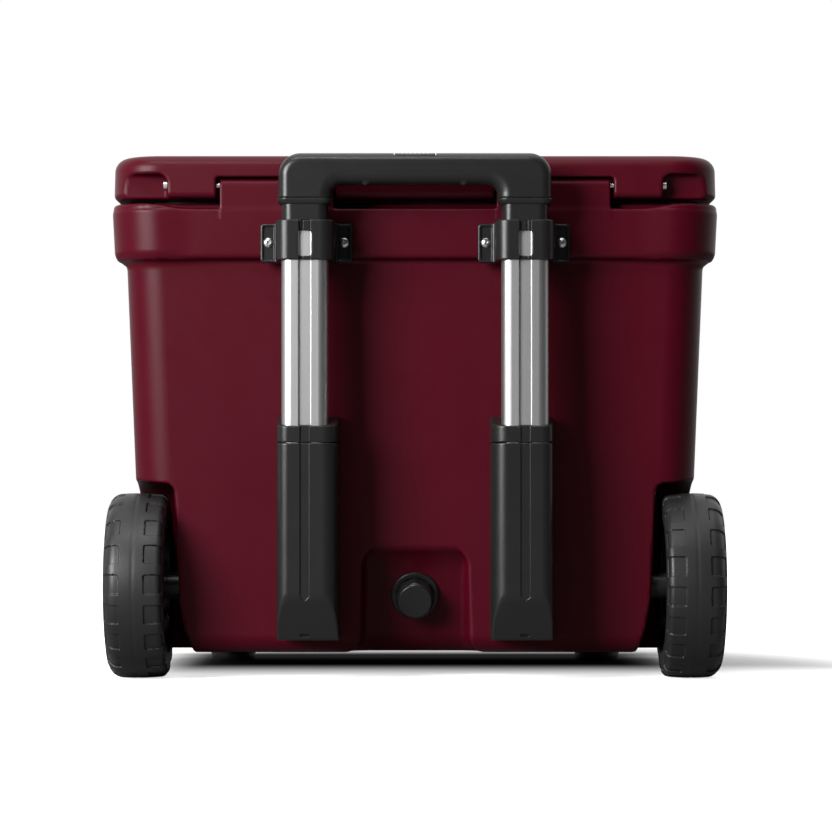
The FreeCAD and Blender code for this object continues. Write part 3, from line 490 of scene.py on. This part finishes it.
def rim_distance(p):
    """Right rim with grooved spokes, and its bore."""
    x, y, z = p[:, 0] - WHEEL_X, p[:, 1] - AXLE_Y, p[:, 2] - AXLE_Z
    radius = np.hypot(y, z)
    ring = both(both(radius - TYRE_INSIDE, 57.5 - radius, 1.5), np.abs(x) - 26, 2)
    lip = both(both(radius - 66.0, 57.0 - radius, 1.2), span(x, 24.2, 27.4), 1.2)
    ring = union(ring, lip, 1)
    hub = both(radius - 19.0 + 0.02 * x, span(x, -23.2, 18.0), 2)
    angle = np.arctan2(y, z)
    pitch = 2 * math.pi / SPOKES
    local = np.mod(angle + pitch / 2, pitch) - pitch / 2
    across, out = radius * np.sin(local), radius * np.cos(local)
    width = 5.0 + 0.0022 * (out - 20) ** 2
    spoke = both(np.abs(across) - width, span(x, -14 + 0.08 * out, 12 - 0.05 * out + 4), 2.5)
    spoke = both(spoke, span(out, 12, 60))
    groove = both(both(np.abs(across) - width + 3.0, span(out, 24, 54), 2), 12.5 - x)
    spoke = less(spoke, groove, 0.8)
    wheel = union(union(ring, spoke, 4), hub, 4)
    wheel = less(wheel, both(radius - 12.6, 14.0 - x), 1)
    return less(wheel, radius - 9.05, 0.3)


# ---------------------------------------------------------------- drain, feet, latches
KNOB_FACES, THREAD_PITCH = 8, 3.0
FOOT_X, FOOT_Y = 193.5, 160.0
LATCH_PIVOT_Y, LATCH_PIVOT_Z, LATCH_BACK = 236.0, 480.0, 239.6


def drain_place(points, normals):
    """From the drain's own frame, with +Z out of the tub, to its place."""
    turn = math.radians(90) + DRAIN_TILT
    c, s = math.cos(turn), math.sin(turn)
    matrix = np.array([[1, 0, 0], [0, c, -s], [0, s, c]])
    return points @ matrix.T + np.array([0, DRAIN_Y, DRAIN_Z]), normals @ matrix.T


def drain_ring_distance(p):
    """Ring round the drain and the tube behind it, in the drain's own frame."""
    x, y, z = p[:, 0], p[:, 1], p[:, 2]
    radius = np.hypot(x, y)
    ring = both(radius - 23.0, span(z, -0.5, 4.0), 1.6)
    ring = less(ring, both(radius - 17.5, 2.6 - z), 0.6)
    tube = both(radius - 13.0, span(z, -34.0, 1.0))
    return less(union(ring, tube), radius - 9.1, 0.5)


def drain_plug_distance(p):
    """Eight-sided knob with a threaded stem, in the drain's own frame."""
    x, y, z = p[:, 0], p[:, 1], p[:, 2]
    radius = np.hypot(x, y)
    angle = np.arctan2(y, x) + math.pi / KNOB_FACES
    pitch = 2 * math.pi / KNOB_FACES
    local = np.mod(angle + pitch / 2, pitch) - pitch / 2
    flats = radius * np.cos(local) - 17.6
    knob = both(both(flats, radius - 18.5, 0.8), span(z, 6.2, 26.0), 0.8)
    knob = both(knob, (radius - 15.9) * 0.78 + (z - 25.6) * 0.62, 0.6)
    stem = both(radius - 9.0, span(z, -26, 8))
    thread = 0.5 * np.cos((z / THREAD_PITCH * 2 * math.pi) - np.arctan2(y, x)) - 0.5
    stem = np.where(z < 2, stem - thread * 0.7, stem)
    return union(knob, stem)


def foot_distance(p):
    """Right foot with a screw hole and a grooved floor face."""
    x, y, z = p[:, 0] - FOOT_X, p[:, 1] - FOOT_Y, p[:, 2]
    radius = np.hypot(x, y)
    foot = both(radius - 23.5, z - 24.8)
    foot = both(foot, -z, 6)
    foot = less(foot, both(radius - 7.0, z - 12), 0.8)
    ribs = both(np.abs(radius - 15.0) - 1.2, z - 0.9)
    return less(foot, ribs, 0.4)


def latch_distance(p):
    """Right latch: bowed arm, pull at its foot and eye for its pin."""
    x, y, z = p[:, 0] - LATCH_X, p[:, 1], p[:, 2]
    swell = 2.5 * ease(425 - z, 0, 25)
    arm = rect(x, z - 438, 22.5 + swell * 0.5, 42.0, 8)
    bow = 2.2 * np.sin(np.clip((z - 400) / 80, 0, 1) * math.pi)
    arm = both(arm, span(y, LATCH_BACK, 246.6 + bow), 2.5)
    pull = both(rect(x, z - 404, 24, 8, 5), span(y, LATCH_BACK, 251.4), 3.4)
    from_pin = np.hypot(y - LATCH_PIVOT_Y, z - LATCH_PIVOT_Z)
    eye = both(from_pin - 6.0, np.abs(x) - 24, 1)
    neck = both(both(rect(x, z - 474, 22.5, 9, 3), span(y, LATCH_PIVOT_Y, 247)), z - 484, 2)
    body = union(union(union(arm, pull, 4), eye, 3), neck, 2)
    window = both(rect(x, z - 446, 13, 15, 4), 245.5 - y)
    body = less(body, window, 1)
    return less(body, from_pin - 2.6, 0.2)


# ---------------------------------------------------------------- build
pieces = []


def add(name, distance, low, high, cell, body, stands_for, slot, **more):
    """A new piece that moves with a body and stands for some of the frame's nodes."""
    piece = skin(name, distance, low, high, cell, **more)
    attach(piece, body)
    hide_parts(*stands_for)
    pieces.append((piece, slot))


def build_shells():
    """Tub and lid."""
    add("tub", tub_distance, (-292, -199.5, 24), (292, 244.5, 478), 2.5,
        "chest", ("tub_shell", "tub_foam"), "tub_plastic")
    add("lid", lid_distance, (-291, -199, 446), (291, 244, 501), 2.0,
        "lid", ("lid_shell", "lid_foam"), "lid_plastic")


def build_grip():
    """Grip and its button."""
    add("grip_moulding", grip_distance, (-129, -252, 447), (129, -223, 497), 0.9,
        "handle_grip", ("grip",), "black_plastic")
    add("button_cap", button_distance, (-20, -249, 488), (20, -226, 497), 0.5,
        "button", ("grip_button",), "black_plastic")


def beside_tube(points, normals):
    """From a shape centred on x = 0 to the right tube."""
    return points + np.array([TUBE_X, 0, 0]), normals


def build_tube_holders(side, flip):
    """Bracket, socket and collar of one outer tube."""
    more = {"mirror": flip, "place": beside_tube}
    add("bracket_moulding_" + side, bracket_distance, (-44, -252, 396), (44, -198, 434.5), 0.7,
        "chest", ("bracket_" + side,), "black_plastic", **more)
    add("socket_moulding_" + side, socket_distance, (-33, -252, 39), (28, -172, 226), 0.9,
        "chest", ("socket_" + side,), "black_plastic", **more)
    add("collar_moulding_" + side, collar_distance, (-33, -252, 225), (28, -178, 251), 0.8,
        "chest", ("socket_collar_" + side,), "black_plastic", **more)


def build_wheel(side, flip):
    """Tyre and rim, with the tread turned as each wheel happens to stand."""
    add("tread_" + side, lambda p: tyre_distance(p, TREAD_TURN[side]),
        (237, -244, 0), (295, -65, 178.5), 1.1,
        "wheel_" + side, ("tyre_" + side,), "tyre", mirror=flip)
    add("spoked_rim_" + side, rim_distance, (239, -221, 22), (294, -88, 156), 1.3,
        "wheel_" + side, ("rim_" + side,), "black_plastic", mirror=flip)


def build_foot_and_latch(side, flip):
    """Foot and front latch of one side."""
    add("floor_foot_" + side, foot_distance, (169, 136, 0), (218, 184, 25), 1.2,
        "chest", ("foot_" + side,), "gasket", mirror=flip)
    add("latch_pull_" + side, latch_distance, (105, 229, 395), (155, 252, 487), 1.0,
        "latch_" + side, ("latch_" + side,), "black_plastic", mirror=flip)


def build_small_parts():
    """Bracket screws, drain ring and drain knob."""
    add("bracket_screw_heads", screws_distance, (-145, -209, 410), (145, -182, 421), 0.45,
        "chest", ("bracket_screws",), "steel")
    add("drain_ring", drain_ring_distance, (-24, -24, -35), (24, 24, 5), 0.8,
        "chest", ("drain_fitting",), "black_plastic", place=drain_place)
    add("drain_knob", drain_plug_distance, (-20, -20, -27), (20, 20, 27), 0.6,
        "drain_plug", ("drain_plug",), "black_plastic", place=drain_place)


def build_pieces():
    """Every piece. Paired ones are drawn on the right and mirrored for the left."""
    build_shells()
    build_grip()
    for side, sign in SIDES:
        flip = sign < 0
        build_tube_holders(side, flip)
        build_wheel(side, flip)
        build_foot_and_latch(side, flip)
    build_small_parts()


build_pieces()


# ---------------------------------------------------------------- materials
GRAIN_DEPTH, WOBBLE_DEPTH = 0.0002, 0.002


def noise(nodes, links, where, scale, detail):
    """Noise at the points where."""
    node = nodes.new("ShaderNodeTexNoise")
    node.inputs["Scale"].default_value = scale
    node.inputs["Detail"].default_value = detail
    links.new(where, node.inputs["Vector"])
    return node.outputs["Fac"]


def bump(nodes, links, height, strength, depth, under=None):
    """Surface bump from a height, on top of another bump if one is given."""
    node = nodes.new("ShaderNodeBump")
    node.inputs["Strength"].default_value = strength
    node.inputs["Distance"].default_value = depth
    links.new(height, node.inputs["Height"])
    if under is not None:
        links.new(under, node.inputs["Normal"])
    return node.outputs["Normal"]


def colour_mix(nodes, links, factor, first):
    """Mix node from a fixed first colour to a second one, which is still to be set."""
    node = nodes.new("ShaderNodeMix")
    node.data_type = "RGBA"
    links.new(factor, node.inputs["Factor"])
    node.inputs["A"].default_value = first
    return node


def material(name, colour, roughness, metallic=0.0, spots=6.0, tint=0.12, grain=0.3, grain_size=900.0,
             wobble=0.0, wobble_size=30.0, stretch=(1, 1, 1), shine=0.5):
    """Moulded or metal finish: colour drift, uneven gloss, fine grain and a slow surface wobble."""
    made = bpy.data.materials.new(name)
    made.use_nodes = True
    nodes, links = made.node_tree.nodes, made.node_tree.links
    shader = nodes["Principled BSDF"]
    mapping = nodes.new("ShaderNodeMapping")
    mapping.inputs["Scale"].default_value = stretch
    links.new(nodes.new("ShaderNodeTexCoord").outputs["Object"], mapping.inputs["Vector"])
    where = mapping.outputs["Vector"]

    drift = noise(nodes, links, where, spots, 4.0)
    paler = colour_mix(nodes, links, drift, [c * (1 - tint) for c in colour] + [1])
    paler.inputs["B"].default_value = [min(1, c * (1 + tint)) for c in colour] + [1]
    links.new(paler.outputs["Result"], shader.inputs["Base Color"])

    gloss = nodes.new("ShaderNodeMapRange")
    gloss.inputs["To Min"].default_value = roughness * 0.85
    gloss.inputs["To Max"].default_value = roughness * 1.15
    links.new(noise(nodes, links, where, spots * 6, 3.0), gloss.inputs["Value"])
    links.new(gloss.outputs["Result"], shader.inputs["Roughness"])

    normal = bump(nodes, links, noise(nodes, links, where, grain_size, 2.0), grain, GRAIN_DEPTH)
    if wobble:
        slow = noise(nodes, links, where, wobble_size, 1.0)
        normal = bump(nodes, links, slow, wobble, WOBBLE_DEPTH, under=normal)
    links.new(normal, shader.inputs["Normal"])
    shader.inputs["Metallic"].default_value = metallic
    shader.inputs["Specular IOR Level"].default_value = shine
    return made


finishes = {
    "tub_plastic": material("wine_plastic", (0.0455, 0.0007, 0.0052), 0.38, tint=0.05, grain=0.05,
                            grain_size=1400, wobble=0.05, wobble_size=14, shine=0.12),
    "black_plastic": material("black_plastic", (0.0085, 0.0086, 0.0085), 0.31, tint=0.08, grain=0.35,
                              grain_size=1500, shine=0.3),
    "tyre": material("tread_rubber", (0.0105, 0.0105, 0.0105), 0.42, tint=0.12, grain=0.5,
                     grain_size=1100, shine=0.32),
    "gasket": material("soft_rubber", (0.008, 0.008, 0.008), 0.6, tint=0.15, grain=0.5, grain_size=800),
    "aluminium": material("satin_aluminium", (0.46, 0.46, 0.465), 0.38, metallic=1.0, tint=0.03, grain=0.12,
                          grain_size=900, stretch=(1, 1, 0.02)),
    "steel": material("stainless_steel", (0.62, 0.62, 0.62), 0.28, metallic=1.0, tint=0.04, grain=0.2,
                      grain_size=1200),
    "brass": material("brass", (0.7, 0.5, 0.2), 0.3, metallic=1.0, tint=0.05, grain=0.2,
                      grain_size=1200),
    "foam": material("foam", (0.8, 0.77, 0.66), 0.9, tint=0.06, grain=0.8, grain_size=400),
}
finishes["lid_plastic"] = finishes["tub_plastic"]


def paint(piece, finish):
    """Gives a piece one finish."""
    piece.data.materials.clear()
    piece.data.materials.append(finish)


def shade_all():
    """A finish by material slot, for the frame's own nodes and for the pieces."""
    slot_of = {entry["node"]: entry["material_slot"] for entry in frame["record"]["subparts"]}
    for node, piece in frame["nodes"].items():
        finish = finishes[slot_of[node]]
        for slot_index in range(len(piece.material_slots)):
            piece.material_slots[slot_index].material = finish
    for piece, slot in pieces:
        paint(piece, finishes[slot])


shade_all()


# ---------------------------------------------------------------- stage, lights, camera
FLOOR_HALF = 12.0
FLOOR_AS_LAMP = 0.2
# Painted shadow: the floor colour is darkened in a strip under the chest's front half and fades back to
# plain floor.
STRIP_MIDDLE, STRIP_HALF = (0.0, 0.12, 0.0), (0.21, 0.14, 0.0)
PAINTED_SHADOW_TONE, STRIP_FADE = 0.03, 0.1
FAR_START, FAR_END = 0.38, 0.62
# Painted light: behind the chest the floor glows for the camera, a painted pool of light that fades out
# under the chest.
PAINTED_REAR_LIGHT, REAR_START, REAR_END = 0.72, -0.13, 0.08
LIT_POINT = Vector((0, 0, 0.25))
SENSOR, LENS = 36.0, 134.5
CAMERA_AWAY, CAMERA_HEIGHT = 3.0, 0.181
SHIFT_X, SHIFT_Y = 0.0012, 0.089


def value_ramp(nodes, links, source, low, high, start, end):
    """Smooth change from one value to another while the source runs from start to end."""
    node = nodes.new("ShaderNodeMapRange")
    node.interpolation_type = "SMOOTHSTEP"
    for key, value in (("From Min", start), ("From Max", end), ("To Min", low), ("To Max", high)):
        node.inputs[key].default_value = value
    links.new(source, node.inputs["Value"])
    return node.outputs["Result"]


def joined(nodes, links, operation, first, second):
    """Result of a math node that is fed by two sockets."""
    node = nodes.new("ShaderNodeMath")
    node.operation = operation
    links.new(first, node.inputs[0])
    links.new(second, node.inputs[1])
    return node.outputs["Value"]


def vector_length(nodes, links, vector):
    """Length of a vector, from a node."""
    node = nodes.new("ShaderNodeVectorMath")
    node.operation = "LENGTH"
    links.new(vector, node.inputs[0])
    return node.outputs["Value"]


def away_from_painted_shadow(nodes, links, where):
    """Distance on the floor from the strip under the chest's front half where a shadow is painted."""
    last = where
    for operation, value in (("SUBTRACT", STRIP_MIDDLE), ("ABSOLUTE", None),
                             ("SUBTRACT", STRIP_HALF), ("MAXIMUM", (0.0, 0.0, 0.0))):
        node = nodes.new("ShaderNodeVectorMath")
        node.operation = operation
        links.new(last, node.inputs[0])
        if value is not None:
            node.inputs[1].default_value = value
        last = node.outputs["Vector"]
    return vector_length(nodes, links, last)


def painted_shadow_floor_colour(nodes, links, where, plain):
    """The plain floor, darkened by a painted shadow in the strip under the chest."""
    away = value_ramp(nodes, links, away_from_painted_shadow(nodes, links, where), 0.0, 1.0, 0.0, STRIP_FADE)
    # Painted shadow: the floor's colour is mixed down to a dark tone near the chest.
    shade = colour_mix(nodes, links, away, [PAINTED_SHADOW_TONE] * 3 + [1])
    links.new(plain, shade.inputs["B"])
    return shade.outputs["Result"]


def floor_glow(nodes, links, where):
    """How much the floor glows for the camera: fully far away, where it blends into the backdrop, and
    partly behind the chest as painted light.
    """
    far = value_ramp(nodes, links, vector_length(nodes, links, where), 0.0, 1.0, FAR_START, FAR_END)
    split = nodes.new("ShaderNodeSeparateXYZ")
    links.new(where, split.inputs["Vector"])
    # Painted light: the floor glows behind the chest, fading out under it.
    rear = value_ramp(nodes, links, split.outputs["Y"], PAINTED_REAR_LIGHT, 0.0, REAR_START, REAR_END)
    return joined(nodes, links, "MAXIMUM", far, rear)


def floor_material():
    """White studio floor that fades into the white backdrop, with a painted shadow under the chest and
    painted light behind it. It lights the chest less than it shows.
    """
    made = material("floor_white", (0.9, 0.9, 0.9), 0.8, tint=0.01, grain=0.02, grain_size=200,
                    shine=0.0)
    nodes, links = made.node_tree.nodes, made.node_tree.links
    shader = nodes["Principled BSDF"]
    seen = nodes.new("ShaderNodeLightPath").outputs["Is Camera Ray"]
    where = nodes.new("ShaderNodeTexCoord").outputs["Object"]
    plain = shader.inputs["Base Color"].links[0].from_socket
    tone = colour_mix(nodes, links, seen, [FLOOR_AS_LAMP] * 3 + [1])
    links.new(painted_shadow_floor_colour(nodes, links, where, plain), tone.inputs["B"])
    links.new(tone.outputs["Result"], shader.inputs["Base Color"])
    shader.inputs["Emission Color"].default_value = (1, 1, 1, 1)
    glow = joined(nodes, links, "MULTIPLY", floor_glow(nodes, links, where), seen)
    links.new(glow, shader.inputs["Emission Strength"])
    return made


def build_stage():
    """Floor under the chest."""
    mesh = bpy.data.meshes.new("floor")
    corners = [(-FLOOR_HALF, -FLOOR_HALF, 0), (FLOOR_HALF, -FLOOR_HALF, 0),
               (FLOOR_HALF, FLOOR_HALF, 0), (-FLOOR_HALF, FLOOR_HALF, 0)]
    mesh.from_pydata(corners, [], [(0, 1, 2, 3)])
    floor = bpy.data.objects.new("floor", mesh)
    bpy.context.scene.collection.objects.link(floor)
    paint(floor, floor_material())


def softbox(name, azimuth, height, distance, width, tall, power):
    """Area light aimed at the chest. Azimuth 0 is by the handle, and -90 is the -X side."""
    data = bpy.data.lights.new(name, "AREA")
    data.shape = "RECTANGLE"
    data.size, data.size_y, data.energy = width, tall, power
    lamp = bpy.data.objects.new(name, data)
    turn, rise = math.radians(azimuth), math.radians(height)
    away = Vector((math.sin(turn) * math.cos(rise), -math.cos(turn) * math.cos(rise), math.sin(rise)))
    lamp.location = LIT_POINT + away * distance
    lamp.rotation_euler = away.to_track_quat("Z", "Y").to_euler()
    bpy.context.scene.collection.objects.link(lamp)


def build_world():
    """Bright backdrop on the far side, dark studio on the near side, white to the camera."""
    world = bpy.data.worlds.new("studio")
    world.use_nodes = True
    nodes, links = world.node_tree.nodes, world.node_tree.links
    split = nodes.new("ShaderNodeSeparateXYZ")
    links.new(nodes.new("ShaderNodeTexCoord").outputs["Generated"], split.inputs["Vector"])
    level = value_ramp(nodes, links, split.outputs["Y"], 0.05, 1.0, -0.35, 0.5)
    mix = nodes.new("ShaderNodeMix")
    links.new(nodes.new("ShaderNodeLightPath").outputs["Is Camera Ray"], mix.inputs["Factor"])
    links.new(level, mix.inputs["A"])
    mix.inputs["B"].default_value = 1.0
    links.new(mix.outputs["Result"], nodes["Background"].inputs["Strength"])
    nodes["Background"].inputs["Color"].default_value = (1, 1, 1, 1)
    bpy.context.scene.world = world


def build_lights():
    softbox("key_left", azimuth=-40, height=18, distance=3.0, width=1.4, tall=1.3, power=185)
    softbox("overhead", azimuth=0, height=88, distance=2.4, width=2.4, tall=2.0, power=26)
    softbox("top_rear", azimuth=-20, height=58, distance=2.4, width=1.2, tall=0.12, power=19)
    build_world()


def build_camera():
    """Level long lens behind the chest, as in the photo."""
    data = bpy.data.cameras.new("camera")
    data.sensor_width, data.lens = SENSOR, LENS
    data.shift_x, data.shift_y = SHIFT_X, SHIFT_Y
    data.clip_end = 50
    camera = bpy.data.objects.new("camera", data)
    camera.location = (0, AXLE_Y * MM - CAMERA_AWAY, CAMERA_HEIGHT)
    camera.rotation_euler = (math.radians(90), 0, 0)
    bpy.context.scene.collection.objects.link(camera)
    bpy.context.scene.camera = camera


build_stage()
build_lights()
build_camera()
bpy.context.scene.view_settings.view_transform = "Standard"
